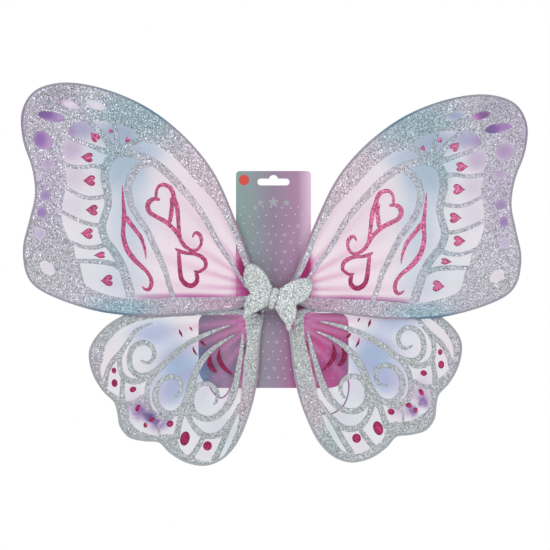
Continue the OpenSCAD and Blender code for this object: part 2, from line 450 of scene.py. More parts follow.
def mapped(tree, value, low, high, to_low=0.0, to_high=1.0):
    """A number carried from one range to another, and kept inside it."""
    return add(tree, "ShaderNodeMapRange", None, i0=value, i1=low, i2=high,
               i3=to_low, i4=to_high).outputs[0]


def grain(tree, size):
    """Random colours in cells about size millimetres wide."""
    return add(tree, "ShaderNodeTexVoronoi", {"feature": "F1"}, Vector=place_of(tree),
               Scale=1000 / size).outputs["Color"]


def clouds(tree, scale, detail):
    """Soft noise from about 0.3 to 0.7."""
    return add(tree, "ShaderNodeTexNoise", None, Vector=place_of(tree), Scale=scale,
               Detail=detail).outputs["Fac"]


def channel(tree, colour, which):
    """One of a colour's three parts."""
    return add(tree, "ShaderNodeSeparateColor", None, Color=colour).outputs[which]


def bump(tree, height, millimetres, strength=1.0):
    """Relief where a height goes from 0 to 1 over some millimetres."""
    return add(tree, "ShaderNodeBump", None, Height=height, Strength=strength,
               Distance=millimetres / 1000).outputs["Normal"]


def times(tree, colour, factor):
    """A colour made lighter or darker by a factor from 0 up."""
    return add(tree, "ShaderNodeVectorMath", {"operation": "SCALE"}, i0=colour,
               Scale=factor).outputs["Vector"]


def printed(tree):
    """The print's colour at the point, which make_piece stored in the mesh."""
    return add(tree, "ShaderNodeAttribute", {"attribute_name": "print"})


def even(tree, colour):
    """One colour all over, given as sRGB."""
    node = add(tree, "ShaderNodeRGB")
    node.outputs[0].default_value = (*linear(colour), 1)
    return node.outputs[0]


def paint(tree, shader, colour, factor, height, millimetres, strength=1.0):
    """Gives the shader its colour, lightened or darkened by a factor, and its relief."""
    tree.links.new(times(tree, colour, factor), shader.inputs["Base Color"])
    tree.links.new(bump(tree, height, millimetres, strength), shader.inputs["Normal"])


def glitter(name, metallic, roughness, sizes, dark, light, tip, colour=None):
    """Flakes of two sizes that differ in brightness and lean their own ways, in the print's
    colour or in one linear colour."""
    material, tree, shader = new_material(name, Metallic=metallic, Roughness=roughness)
    if colour is None:
        base = printed(tree).outputs["Color"]
    else:
        base = add(tree, "ShaderNodeRGB").outputs[0]
        base.default_value = colour
    small, large = (grain(tree, size) for size in sizes)
    mix = maths(tree, "ADD", maths(tree, "MULTIPLY", channel(tree, small, 0), 0.45),
                maths(tree, "MULTIPLY", channel(tree, large, 1), 0.55))
    curve = maths(tree, "POWER", mix, 1.25)
    tree.links.new(times(tree, base, mapped(tree, curve, 0.08, 0.75, dark, light)),
                   shader.inputs["Base Color"])
    lean = add(tree, "ShaderNodeVectorMath", {"operation": "SUBTRACT"}, i0=large,
               i1=(0.5, 0.5, 0.5)).outputs["Vector"]
    normal = add(tree, "ShaderNodeNewGeometry").outputs["Normal"]
    leant = add(tree, "ShaderNodeVectorMath", {"operation": "ADD"}, i0=normal,
                i1=times(tree, lean, tip)).outputs["Vector"]
    tree.links.new(add(tree, "ShaderNodeVectorMath", {"operation": "NORMALIZE"},
                       i0=leant).outputs["Vector"], shader.inputs["Normal"])
    return material


def wave_scale(pitch):
    """The wave texture's Scale for bands some millimetres apart."""
    return 2 * math.pi / (20 * pitch / 1000)


def threads(tree, pitch):
    """A square weave: 1 on the crowns of its threads and 0 in its holes."""
    waves = []
    for direction in ("X", "Z"):
        settings = {"wave_type": "BANDS", "bands_direction": direction, "wave_profile": "SIN"}
        waves.append(add(tree, "ShaderNodeTexWave", settings, Vector=place_of(tree),
                         Scale=wave_scale(pitch)).outputs["Fac"])
    return maths(tree, "MAXIMUM", waves[0], waves[1])


def sheer_mesh():
    """Printed organza: a fine weave that lets through what is behind it."""
    material, tree, shader = new_material("sheer_mesh", Roughness=0.55, Sheen_Weight=0.25,
                                          Sheen_Roughness=0.4)
    ink = printed(tree)
    weave = threads(tree, 0.9)
    shade = maths(tree, "MULTIPLY", mapped(tree, weave, 0, 1, 0.9, 1.03),
                  mapped(tree, clouds(tree, 70.0, 4.0), 0.3, 0.7, 0.95, 1.04))
    paint(tree, shader, ink.outputs["Color"], shade, weave, 0.08, 0.5)
    tree.links.new(maths(tree, "MULTIPLY", ink.outputs["Alpha"],
                         mapped(tree, weave, 0, 1, 0.78, 1.1), clamp=True),
                   shader.inputs["Alpha"])
    return material


def hem_fabric():
    """The mesh's edge, rolled tight round the wire and stitched."""
    material, tree, shader = new_material("hem_fabric", Roughness=0.5, Sheen_Weight=0.3)
    weave = threads(tree, 0.5)
    paint(tree, shader, printed(tree).outputs["Color"], mapped(tree, weave, 0, 1, 0.7, 1.1),
           weave, 0.06)
    return material


def plain(name, colour, spot, depth, roughness, variation=0.12, **constants):
    """A colour with fine mottling and relief: spot is the mottling's size in millimetres."""
    material, tree, shader = new_material(name, Roughness=roughness, **constants)
    mottling = clouds(tree, 1000 / spot, 5.0)
    factor = mapped(tree, mottling, 0.3, 0.7, 1 - variation, 1 + variation)
    paint(tree, shader, even(tree, colour), factor, mottling, depth)
    return material


def braid(name, colour, pitch):
    """A braided cover: two sets of fine slanting bands."""
    material, tree, shader = new_material(name, Roughness=0.6, Sheen_Weight=0.4)
    settings = {"wave_type": "BANDS", "bands_direction": "DIAGONAL", "wave_profile": "SIN"}
    place = place_of(tree)
    other = add(tree, "ShaderNodeVectorMath", {"operation": "MULTIPLY"}, i0=place,
                i1=(-1, 1, 1)).outputs["Vector"]
    bands = [add(tree, "ShaderNodeTexWave", settings, Vector=v,
                 Scale=wave_scale(pitch)).outputs["Fac"] for v in (place, other)]
    weave = maths(tree, "MULTIPLY", bands[0], bands[1])
    paint(tree, shader, even(tree, colour), mapped(tree, weave, 0, 1, 0.75, 1.15), weave, 0.08)
    return material


def ramp(tree, value, stops):
    """A blend through sRGB colours, each at its place from 0 to 1."""
    node = add(tree, "ShaderNodeValToRGB", None, Fac=value)
    elements = node.color_ramp.elements
    for i, (place, colour) in enumerate(stops):
        element = elements[i] if i < 2 else elements.new(place)
        element.position = place
        element.color = (*linear(colour), 1)
    return node.outputs["Color"]


def mixed(tree, factor, first, second):
    """Two colours mixed. A Mix node's colours are its inputs 6 and 7 and its output 2."""
    return add(tree, "ShaderNodeMix", {"data_type": "RGBA"}, Factor=factor, i6=first,
               i7=second).outputs[2]


def card_print():
    """The card's print on its front, green at the left through grey-purple to pink, and bare
    white board on its back."""
    material, tree, shader = new_material("card_print", Roughness=0.42)
    place = add(tree, "ShaderNodeSeparateXYZ", None, Vector=place_of(tree))
    across = mapped(tree, place.outputs["X"], -0.076, 0.074)
    above = ramp(tree, across, [(0.2, (0.52, 0.65, 0.62)), (0.36, (0.55, 0.60, 0.62)),
                                (0.5, (0.58, 0.51, 0.60)), (0.66, (0.67, 0.52, 0.65)),
                                (0.76, (0.90, 0.78, 0.87))])
    below = ramp(tree, across, [(0.0, (0.36, 0.50, 0.58)), (0.17, (0.76, 0.60, 0.71)),
                                (0.38, (0.57, 0.55, 0.60)), (0.52, (0.58, 0.51, 0.61)),
                                (0.64, (0.66, 0.40, 0.58)), (0.74, (0.97, 0.22, 0.64)),
                                (1.0, (0.86, 0.36, 0.60))])
    blend = mixed(tree, mapped(tree, place.outputs["Z"], -0.035, 0.03), below, above)
    fibre = clouds(tree, 900.0, 6.0)
    shade = maths(tree, "MULTIPLY", mapped(tree, fibre, 0.3, 0.7, 0.97, 1.03),
                  mapped(tree, clouds(tree, 18.0, 2.0), 0.3, 0.7, 0.95, 1.05))
    facing = add(tree, "ShaderNodeSeparateXYZ", None,
                 Vector=add(tree, "ShaderNodeTexCoord").outputs["Normal"])
    behind = mapped(tree, facing.outputs["Y"], 0.4, 0.6)
    sides = mixed(tree, behind, blend, (0.66, 0.65, 0.66, 1))
    paint(tree, shader, sides, shade, fibre, 0.03, 0.4)
    return material


# ---- The print, and one patch of painted shade: soft patches of colour over a base, as (x, z, across, up, colour, strength) ----

UPPER_INK = ((0.905, 0.885, 0.915), [
    (62, 30, 75, 50, (0.945, 0.865, 0.91), 0.95), (85, 95, 45, 45, (0.92, 0.85, 0.895), 0.8),
    (160, 60, 40, 60, (0.86, 0.87, 0.90), 0.7), (132, 141, 24, 13, (0.74, 0.79, 0.87), 0.9),
    (150, 123, 24, 28, (0.67, 0.755, 0.83), 1.0), (144, 75, 20, 40, (0.78, 0.82, 0.88), 0.95),
    (148, 18, 24, 22, (0.80, 0.835, 0.885), 0.9), (156, 158, 28, 14, (0.66, 0.72, 0.81), 1.0),
    (195, 161, 18, 12, (0.68, 0.67, 0.80), 0.95), (205, 158, 7, 6, (0.70, 0.58, 0.77), 0.9),
    (203, 140, 14, 12, (0.77, 0.70, 0.81), 0.9), (180, 136, 10, 9, (0.74, 0.82, 0.88), 0.7),
    (200, 113, 16, 14, (0.83, 0.78, 0.85), 0.8), (200, 85, 16, 14, (0.84, 0.81, 0.87), 0.7),
    (190, 20, 30, 20, (0.85, 0.87, 0.90), 0.7),
    (70, 0.5, 40, 3.6, (0.74, 0.36, 0.64), 1.0), (115, -1, 26, 3, (0.74, 0.56, 0.72), 0.8),
    (24, 12, 15, 22, (0.82, 0.42, 0.66), 0.9), (30, 34, 8, 15, (0.70, 0.22, 0.48), 1.0),
    (206, 184, 11, 6, (0.72, 0.48, 0.74), 1.0), (211, 185, 6, 4.5, (0.64, 0.28, 0.60), 1.0),
    (180, 184, 13, 6, (0.64, 0.69, 0.80), 1.0), (215, 170, 9, 6, (0.52, 0.36, 0.66), 1.0),
    (230, 173, 11, 6, (0.67, 0.52, 0.76), 1.0), (230, 148, 13, 11, (0.72, 0.62, 0.78), 1.0),
    (225, 126, 9, 7, (0.74, 0.66, 0.80), 1.0), (226, 95, 8, 7, (0.66, 0.56, 0.76), 1.0),
    (229, 78, 7, 7, (0.62, 0.50, 0.74), 1.0), (230, 57, 8, 8, (0.77, 0.72, 0.83), 1.0),
    (222, 24, 10, 9, (0.87, 0.84, 0.89), 1.0)])
UPPER_TINT = ((0.70, 0.695, 0.735), [
    (62, 122, 38, 40, (0.76, 0.69, 0.74), 0.95), (140, 176, 48, 26, (0.57, 0.645, 0.68), 1.0),
    (222, 192, 26, 16, (0.62, 0.61, 0.66), 0.9), (245, 165, 14, 20, (0.67, 0.645, 0.70), 0.8),
    (50, -6, 32, 10, (0.69, 0.58, 0.66), 0.95), (100, -10, 38, 12, (0.69, 0.66, 0.71), 0.9),
    (148, -15, 34, 13, (0.57, 0.665, 0.715), 1.0), (163, 130, 22, 26, (0.58, 0.655, 0.69), 0.9),
    (90, 100, 34, 34, (0.75, 0.71, 0.74), 0.8), (225, 105, 14, 50, (0.69, 0.655, 0.73), 0.8),
    (160, 50, 18, 50, (0.60, 0.66, 0.69), 0.8), (225, 20, 24, 26, (0.69, 0.69, 0.72), 0.8)])
LOWER_INK_AND_SHADE = ((0.885, 0.885, 0.91), [
    (70, -28, 50, 26, (0.93, 0.88, 0.91), 0.8), (100, -58, 24, 28, (0.66, 0.74, 0.86), 1.0),
    (122, -20, 24, 14, (0.70, 0.77, 0.88), 0.9), (112, -80, 14, 14, (0.68, 0.74, 0.87), 0.9),
    (80, -95, 14, 14, (0.83, 0.86, 0.90), 0.8), (125, -75, 9, 20, (0.77, 0.76, 0.86), 0.8),
    (75, -118, 25, 10, (0.83, 0.86, 0.89), 0.8), (56, -132, 12, 18, (0.81, 0.85, 0.89), 0.8),
    (135, -42, 12, 14, (0.86, 0.87, 0.91), 0.8), (150, -78, 12, 10, (0.85, 0.81, 0.87), 0.7),
    (168, -40, 14, 24, (0.90, 0.86, 0.89), 0.8), (145, -92, 12, 10, (0.78, 0.70, 0.82), 0.8),
    (128, -108, 14, 10, (0.80, 0.74, 0.84), 0.8), (85, -140, 12, 10, (0.88, 0.86, 0.89), 0.7),
    # The thin deep magenta patch at (38, -72) is the card's pink seen through the mesh, darkened
    # with painted shade in the narrow gap between the border and the first vein.
    (20, -20, 20, 16, (0.84, 0.42, 0.68), 0.75), (38, -72, 5, 20, (0.70, 0.30, 0.52), 0.7)])
LOWER_TINT = ((0.665, 0.685, 0.70), [
    (30, -40, 14, 30, (0.69, 0.705, 0.70), 0.8), (40, -105, 12, 24, (0.72, 0.67, 0.70), 0.8),
    (60, -145, 16, 14, (0.61, 0.66, 0.67), 0.8), (178, -50, 12, 30, (0.70, 0.68, 0.72), 0.8),
    (140, -100, 20, 18, (0.67, 0.65, 0.70), 0.7), (100, -155, 24, 10, (0.69, 0.70, 0.715), 0.8)])
UPPER_HEM = ((0.63, 0.60, 0.66), [
    (160, -19, 28, 8, (0.34, 0.47, 0.57), 1.0), (110, -17, 20, 8, (0.62, 0.55, 0.62), 0.8),
    (120, 190, 26, 26, (0.30, 0.50, 0.62), 0.9), (165, 197, 30, 14, (0.52, 0.58, 0.64), 0.8),
    (245, 170, 16, 26, (0.58, 0.50, 0.64), 0.8), (40, 60, 22, 40, (0.66, 0.50, 0.60), 0.8),
    (235, 30, 16, 40, (0.62, 0.60, 0.66), 0.8)])
LOWER_HEM = ((0.66, 0.68, 0.70), [
    (28, -60, 10, 60, (0.66, 0.50, 0.60), 0.7), (50, -14, 40, 8, (0.60, 0.36, 0.52), 0.8),
    (180, -50, 10, 30, (0.62, 0.60, 0.64), 0.8)])
# Where the left-hand print differs: these go over it.
LEFT_UPPER = [
    (180, 184, 13, 7, (0.87, 0.85, 0.89), 1.0), (206, 184, 12, 7, (0.88, 0.84, 0.90), 1.0),
    (214, 171, 9, 6, (0.72, 0.60, 0.80), 1.0), (230, 174, 10, 6, (0.50, 0.30, 0.64), 1.0),
    (226, 148, 9, 10, (0.74, 0.62, 0.80), 1.0), (234, 149, 7, 9, (0.58, 0.40, 0.70), 0.9)]
LEFT_LOWER = [
    (135.5, -102.5, 5.5, 5, (0.36, 0.24, 0.56), 1.0), (148, -92, 7, 7, (0.66, 0.58, 0.76), 0.5),
    (124, -110, 8, 6, (0.68, 0.60, 0.77), 0.5)]


def ink_at(plan, points):
    """The colour of a print at points given on the right-hand wing, as sRGB."""
    base, patches = plan
    colour = np.tile(np.array(base), (len(points), 1))
    for x, z, across, up, patch, strength in patches:
        far = ((points[:, 0] - x) / across) ** 2 + ((points[:, 1] - z) / up) ** 2
        weight = strength * np.exp(-far ** 1.5)
        colour += weight[:, None] * (np.array(patch) - colour)
    return colour


# Small fans of purple ink: where each starts, how far it runs, its direction in degrees and
# its number of rays, for each wing.
FANS = {"lower_right": [(143.5, -106, 11.5, 38, 26), (143, -106.5, 10.5, 218, 24)],
        "lower_left": [(136.5, -102, 14, 40, 22), (134.5, -103, 13, 220, 22)],
        "upper_right": [(209, 168, 16, 14, 60), (214, 186, 11, 190, 44)],
        "upper_left": []}


def fan(points, x, z, reach, aim, count):
    """How strongly ink has run outward from a point, in thin rays to one side of it."""
    dx, dz = points[:, 0] - x, points[:, 1] - z
    far, angle = np.hypot(dx, dz) / reach, np.arctan2(dz, dx)
    stripes = 0.5 + 0.5 * np.cos(angle * count)
    sector = np.clip(np.cos(angle - math.radians(aim)), 0, 1) ** 3
    return np.exp(-far ** 4) * sector * (0.5 + 0.5 * stripes ** 2)


# ---- Wings ----

class Wing:
    """One wing: its outline, its fabric's surface, and where the decoration goes."""

    def __init__(self, level, side):
        self.name = f"{level}_{side}"
        self.body = f"{side}_{level}_wing"
        self.upper = level == "upper"
        self.sign = 1 if side == "right" else -1
        self.plane = AXIS_Y + (-LAYER if self.upper else LAYER)
        self.base = np.array(UPPER_ROOT if self.upper else LOWER_ROOT)
        self.pin = UPPER_PIN if self.upper else LOWER_PIN
        degrees, self.scale = UPPER_PRINT if self.upper else LOWER_PRINT
        self.turn = turn_by(degrees)
        self.outline = spline(front_loop(f"{self.name}_mesh"), 2.5, closed=True)

    def place(self, points):
        """Takes points of the right-hand wing to this wing."""
        points = np.asarray(points, float)
        if self.sign > 0:
            return points
        q = (points - self.base) @ self.turn / self.scale
        return np.stack([-(self.base[0] + q[:, 0]), self.base[1] + q[:, 1]], axis=1)

    def unplace(self, points):
        """Takes points of this wing to the right-hand one."""
        if self.sign > 0:
            return points
        q = np.stack([-points[:, 0] - self.base[0], points[:, 1] - self.base[1]], axis=1)
        return self.base + self.scale * q @ self.turn.T

    def surface(self, points):
        """The fabric's Y: taut, with pleats at the root and slight puckers along the wire."""
        edge, along = distance_to(points, self.outline)
        x, z = points[:, 0], points[:, 1]
        dx, dz = x - self.sign * self.base[0], z - self.base[1]
        far = np.hypot(dx, dz)
        angle = np.arctan2(dz, self.sign * dx)
        taut = 1 - np.exp(-edge / 6)
        pleats = 0.5 * np.exp(-far / 34) * np.cos(angle * 24) * np.minimum(edge / 3, 1)
        puckers = 0.2 * np.exp(-edge / 8) * taut * 2.5 * np.sin(along / 3.1)
        billow = 0.45 * taut * np.sin(x / 31 + 1.1 * self.sign) * np.cos(z / 26 + 0.6)
        return self.plane - (pleats + puckers + billow)

    def ink(self, points, clear=False):
        """The print's colour, with a line of painted shade in the lower wings' mesh, and, for the
        sheer mesh itself, how much it covers.
        """
        right = self.unplace(points)
        differs = [] if self.sign > 0 else LEFT_UPPER if self.upper else LEFT_LOWER
        if clear:
            base, patches = UPPER_INK if self.upper else LOWER_INK_AND_SHADE
            colour = ink_at((base, patches + differs), right)
            far = np.hypot(*(right - self.base).T)
            angle = np.arctan2(*(right - self.base).T[::-1])
            streak = np.exp(-far / 45) * (0.5 + 0.5 * np.cos(angle * 24)) ** 2
            colour += 0.6 * streak[:, None] * (np.array((0.76, 0.28, 0.60)) - colour)
            for x, z, reach, aim, count in FANS[self.name]:
                run = fan(right, x, z, reach, aim, count)
                colour += run[:, None] * (np.array((0.40, 0.20, 0.55)) - colour)
            colour = linear(colour)
            cover = np.clip(0.22 + 1.5 * (0.80 - colour.min(axis=1)), 0.22, 0.9)
            own = (colour - (1 - cover[:, None]) * WHITE_BEHIND) / cover[:, None]
            layer = 1 - np.sqrt(1 - cover)
            return np.concatenate([np.clip(own, 0.01, 1), layer[:, None]], axis=1)
        base, patches = UPPER_TINT if self.upper else LOWER_TINT
        return linear(ink_at((base, patches + ([] if self.upper else differs)), right))


# ---- The decoration, laid out on the right-hand wings in millimetres from the hub ----

UPPER_FIELD = [
    (21, 5), (21, 12), (25, 22), (31, 34), (37, 48), (43, 64), (52, 80), (62, 95), (72, 105),
    (82, 115), (90, 124), (100, 134), (112, 143), (122, 148), (133, 151), (140, 158), (147, 163),
    (156, 165.5), (165, 167.5), (174, 169), (190, 168.5), (198, 167), (204, 162), (207, 156),
    (210, 148), (211, 140), (209, 130), (208, 120), (206, 108), (208, 95), (210, 80), (208, 67),
    (203, 55), (197, 46), (195, 36), (190, 28), (187, 15), (183, 8), (172, 3), (158, -1),
    (140, -3), (120, -2), (95, 0), (70, 1), (50, 2), (34, 3)]
# Windows in the border: x, z, two half-lengths and a turn. LOWER_DOTS are given the same way.
UPPER_WINDOWS = [
    (180, 184, 10, 4.2, 18), (206, 184, 9.5, 3.8, 18), (223, 171.5, 13.5, 4.8, 10),
    (230, 148, 10.5, 8, 35), (225, 125, 7, 4.5, 10), (226, 95, 5.5, 5, 0), (229, 78, 4.5, 5.5, 0),
    (230, 57, 5.5, 6, 20), (222, 24, 8.5, 5.5, 40)]
# Each vein is its route and its widths, evenly spread along it.
UPPER_VEINS = [
    ([(27, 11), (36, 25), (45, 38), (56, 53), (70, 77), (83, 94), (95, 107), (108, 120), (120, 129),
      (133, 135), (145, 138), (156, 141)], [3, 4, 5, 6, 7, 8, 8, 7]),
    ([(122, 130), (130, 129), (137, 125), (143, 117), (146, 105), (143, 90), (136, 77),
      (127, 65), (120, 52), (113, 38), (107, 25), (103, 12), (98, -1)], [6, 8, 7, 6, 6, 6, 5, 5]),
    ([(150, 139), (160, 136), (167, 128), (169, 114), (166, 100), (165, 88), (168, 76),
      (170, 65), (166, 53), (159, 44), (152, 34), (146, 20), (139, -2)], [8, 9, 8, 7, 8, 8, 9, 9]),
    ([(164, 139), (173, 140.5), (182, 144), (192, 147), (201, 150.5), (212, 157)], [7, 5, 4, 4, 4]),
    ([(166, 127), (173, 124.5), (181, 125), (190, 123.5), (200, 123.5), (214, 127)], [6, 4, 4, 4]),
    ([(165, 97), (177, 94), (191, 95), (212, 106)], [4, 4, 3]),
    ([(169, 67), (181, 68), (194, 72), (213, 81)], [4, 4, 3]),
    ([(163, 50), (175, 46), (188, 46), (206, 53)], [5, 4, 3]),
    ([(148, 24), (158, 30), (172, 32), (198, 32)], [5, 5, 4]),
    ([(157, 139), (158.5, 150), (160, 159), (162.5, 169)], [8, 4.5, 4]),
    ([(161, 138), (168, 149.5), (174, 157), (181, 163), (188, 170)], [8, 5, 4]),
    ([(156, 141), (148, 146), (141, 150), (133, 153)], [8, 7, 5, 5])]
# Hearts: x, z, size, the way the tip points, and how flat.
UPPER_HEARTS = [
    (148, 151.5, 6, 80, 0.85), (165, 159.5, 5.5, 80, 0.75), (180, 153, 11.5, 45, 0.75),
    (186.5, 133, 13, 2, 0.75), (183.5, 110.5, 13, -3, 0.82), (180, 82, 13, 0, 0.82),
    (184, 59, 13, 0, 0.82), (171, 38.5, 12, -5, 0.55), (163, 14, 13, -5, 0.88)]
UPPER_SWASHES = [
    ([(86, 47), (91, 52), (94, 58), (95.5, 68), (96.5, 78), (98, 88), (101, 96), (102.5, 102),
      (106, 107), (112, 109), (116.5, 107), (118.5, 102), (118.5, 96.5)],
     [3, 3.5, 4, 4, 4, 4.5, 4.8, 4.5, 4.5, 4, 3, 3]),
    ([(114.5, 94), (120, 95), (125, 92), (126.5, 87), (123.5, 81), (117, 77.5), (110, 74),
      (105, 70.5), (100, 66), (96, 61), (92, 54), (88, 49.5), (83, 46.5), (78, 46.5),
      (74, 50.5), (73, 56), (74.5, 61), (78, 63.5), (80.5, 62), (82, 58.5)],
     [3, 4.2, 5, 5, 4.3, 4.5, 4.5, 4.5, 4.2, 4.2, 4, 3.8, 4, 3.5, 3.2, 3, 3.2, 4.2, 3.5, 1.5]),
    ([(103.5, 97), (102.8, 88), (103.5, 80), (104.5, 72)], [4.5, 4, 4.5, 4]),
    ([(98.5, 47.8), (95, 45.5), (88, 43.5), (80, 43), (73, 40.5), (68.7, 36.5), (68, 31),
      (71, 27.5), (75, 25.5), (79.5, 26.3)], [1.5, 4, 3.6, 3.6, 4, 4.2, 4.2, 3.2, 3.2, 2.2]),
    ([(77.5, 25.5), (75.8, 20), (76.5, 15.5), (80.5, 12), (85.5, 12.5), (90.5, 17), (92.5, 24),
      (93.5, 32), (94.3, 40), (95, 45)], [3.5, 4.2, 4.8, 5, 5, 4.6, 4.5, 4.2, 4, 3]),
    ([(151.6, 107), (151, 98), (150, 88), (149, 80), (149, 72), (149.5, 63), (148.5, 55),
      (145.5, 46), (140, 38), (133, 31), (126, 25), (121.5, 18.5), (120, 12), (122.5, 6.8),
      (126, 6.8), (129.5, 9.5)],
     [0.6, 2, 3, 4, 4.8, 4, 4.5, 4.8, 5, 5.4, 4.6, 4, 3.6, 4, 4, 1.3]),
    ([(147.5, 77), (142.5, 70), (137, 63.5), (132, 57), (128.5, 48), (127, 42), (126.3, 36)],
     [5, 4.5, 4, 4, 3, 2.5, 0.7])]

LOWER_FIELD = [
    (30.5, -14), (29.5, -25), (30, -36), (32, -47), (35.5, -59), (38, -71), (40, -80), (42, -90),
    (44, -97), (46, -105), (47.3, -112), (49, -119), (52, -127), (56, -134), (60, -141),
    (65, -147.5), (70, -151.5), (77, -153.5), (84, -153.5), (91, -151), (97, -147.5),
    (104, -143.5), (109, -138), (110.5, -131), (113, -124.5), (120, -121.5), (128, -121.5),
    (136, -120.5), (143, -117), (151, -111.5), (155.3, -105), (156, -97), (155, -89), (158, -83),
    (163, -79), (170, -74), (175.5, -67), (178.5, -57), (178.5, -48), (175, -39)]
# The field's top edge on the right-hand wing (1) and the left-hand one (-1).
LOWER_TOPS = {1: [(170, -31.5), (163, -24.5), (154, -18), (140, -14), (120, -12), (90, -12),
                  (55, -12), (38, -12)],
              -1: [(171, -27), (164, -19), (154, -12), (140, -7), (120, -5), (90, -6.5),
                   (55, -9.5), (38, -11)]}
LOWER_VEINS = [
    ([(33.3, -31), (35.5, -42), (38, -52), (40.6, -61), (43.5, -71), (46.5, -80), (50.5, -90),
      (56, -99), (62.5, -105.5), (70, -110), (78, -111.3), (85.5, -109), (91, -103.5),
      (93, -95), (91, -85.5), (86, -78.5), (78, -75.8), (71, -78), (66.5, -83.5), (66, -90),
      (68, -95), (71, -98)],
     [2, 3, 4.5, 5, 6, 6, 7, 7.5, 7, 6.5, 6, 6, 6.5, 6.5, 6, 5.5, 5, 5, 4.5, 4, 2.5]),
    ([(45, -21), (58, -24), (72, -28), (86, -33), (99, -40), (111, -48), (121, -56),
      (132, -60.5), (142, -59.5), (148, -53), (149, -44), (146.5, -35), (140, -29), (132, -28),
      (125.5, -32.5), (123.5, -40), (126.5, -46.5), (132, -48.5), (138, -45)],
     [1.5, 3, 4.5, 5, 5.5, 6, 6, 6.5, 6, 5.5, 5.5, 5.5, 5, 4.5, 4, 2]),
    ([(41, -31), (55, -37), (67, -44), (77, -53), (85, -64), (91, -76), (96, -88), (103, -98),
      (112, -102), (120, -100), (126, -93), (128, -84), (125, -74), (118, -67), (109, -65),
      (102.5, -69), (101, -77), (105, -84), (113, -85.5)],
     [1.5, 3, 4.5, 6, 6.5, 7, 8, 7.5, 7, 6, 6, 6, 5, 5, 4.5, 4, 2]),
    ([(120, -55), (129, -63), (134, -72), (136, -82), (136, -92), (132, -100), (124, -104),
      (112, -105)], [5, 6, 5, 5, 6, 7, 6, 5]),
    ([(153, -31), (158, -40), (159.3, -48), (158.5, -55), (156, -60.5), (150, -64.5),
      (142, -65.5), (135, -63)], [4, 4.5, 4.5, 5, 6, 6, 6, 5]),
    ([(157, -59), (159, -68), (160.3, -76), (161, -86)], [5, 4.5, 5, 8]),
    ([(121, -9.5), (131, -11.7), (140, -16), (147, -24), (154, -32), (160, -37.5), (166, -43),
      (171, -50), (174.5, -58), (177, -68)], [1.5, 2.5, 4, 4.5, 5, 5, 5, 5, 7]),
    ([(45, -100), (48, -106), (52, -112), (57.5, -120), (63, -130), (68.5, -140), (73, -147),
      (78, -155)], [3, 4.5, 5.5, 6, 5.5, 5.5, 6, 7]),
    ([(55, -115), (62, -123.5), (70, -128), (78, -128.8), (85, -126.5), (90.5, -121),
      (94.5, -114), (97, -106), (97.5, -98)], [5, 7, 6.5, 6, 6, 6, 5, 6, 8]),
    ([(84, -127), (88, -133), (92, -138.5), (97, -144.5), (102, -149)], [4, 5, 5.5, 6]),
    ([(102, -100), (106.5, -110), (109.5, -119), (113, -128)], [8, 5.5, 6, 8]),
    ([(135, -81.5), (141, -82), (146, -85), (151, -87), (158, -86)], [6, 4, 4, 5]),
    ([(112, -104), (121, -106.5), (128, -112), (128, -124)], [5, 4, 2.5, 2])]
LOWER_DOTS = [
    (165.5, -52, 2.3, 3, 0), (166.5, -64.5, 3, 4, 0), (149, -73, 3.4, 2.8, -20),
    (146.5, -92, 2.2, 3.8, 30), (134, -105, 3.2, 2.6, -20), (141, -110, 2, 2.6, 0),
    (116.5, -111.5, 3.6, 3.2, -30), (103.5, -128, 4.8, 7.3, 20), (82, -138, 4.4, 4.7, 20)]
LOWER_CRESCENTS = [
    ([(58, -43), (60, -52), (57, -61), (48, -71)], [0.8, 4.5, 4.5, 0.8]),
    ([(67.5, -48), (70, -56), (67, -63), (63.5, -66)], [0.8, 5, 5, 2]),
    ([(76, -33), (73.5, -36.5), (71, -38)], [2.4, 3.2, 1]),
    ([(84.5, -38), (83.5, -43), (81, -47)], [1, 2.4, 0.8]),
    ([(96, -19), (95, -23), (93.5, -27)], [1, 2.6, 0.8]),
    ([(85, -18), (83, -22)], [2.4, 1])]


def ribbon(wing, route, widths, height):
    """A raised strip of glitter along a route, with rough edges, closed underneath."""
    line = wing.place(spline(route, 1.6))
    width = np.interp(np.linspace(0, 1, len(line)), np.linspace(0, 1, len(widths)), widths)
    along = np.gradient(line, axis=0)
    along /= np.linalg.norm(along, axis=1)[:, None]
    out = np.stack([-along[:, 1], along[:, 0]], axis=1)
    rough = np.array([[0.28 * noise.noise(Vector((x, z, side))) for side in (3.1, 9.7)]
                      for x, z in line * 1.3])
    run = run_along(line)
    width = width * np.minimum(1, 0.4 + np.minimum(run, run[-1] - run) / 2.5)
    half = np.maximum(width / 2, 0.25)[:, None] + rough * np.minimum(width, 3)[:, None] / 3
    left, right = out * half[:, :1], -out * half[:, 1:]
    flat = np.stack([line + left, line + 0.8 * left, line + 0.8 * right, line + right],
                    axis=1).reshape(-1, 2)
    rise = np.tile([0.0, 1.0, 1.0, 0.0], len(line)) * height
    verts = at_depth(flat, wing.surface(flat) - rise)
    end = 4 * len(line)
    return verts, skin(len(line), 4) + [(3, 2, 1, 0), (end - 4, end - 3, end - 2, end - 1)]


def ribbons(wing, strokes, height, step):
    """Ribbons along several routes, each a step higher than the one before."""
    return [ribbon(wing, route, widths, height + step * i)
            for i, (route, widths) in enumerate(strokes)]


def patch(wing, loop, height):
    """A raised patch of glitter inside a loop."""
    edge = wing.place(loop)
    middle = edge.mean(axis=0)
    flat = np.concatenate([edge, middle + (edge - middle) * 0.86, [middle]])
    n = len(edge)
    rise = np.where(np.arange(2 * n + 1) < n, 0, height)
    return at_depth(flat, wing.surface(flat) - rise), dome(n)


def flat_of(verts):
    """The X and Z of points."""
    return verts[:, [0, 2]]


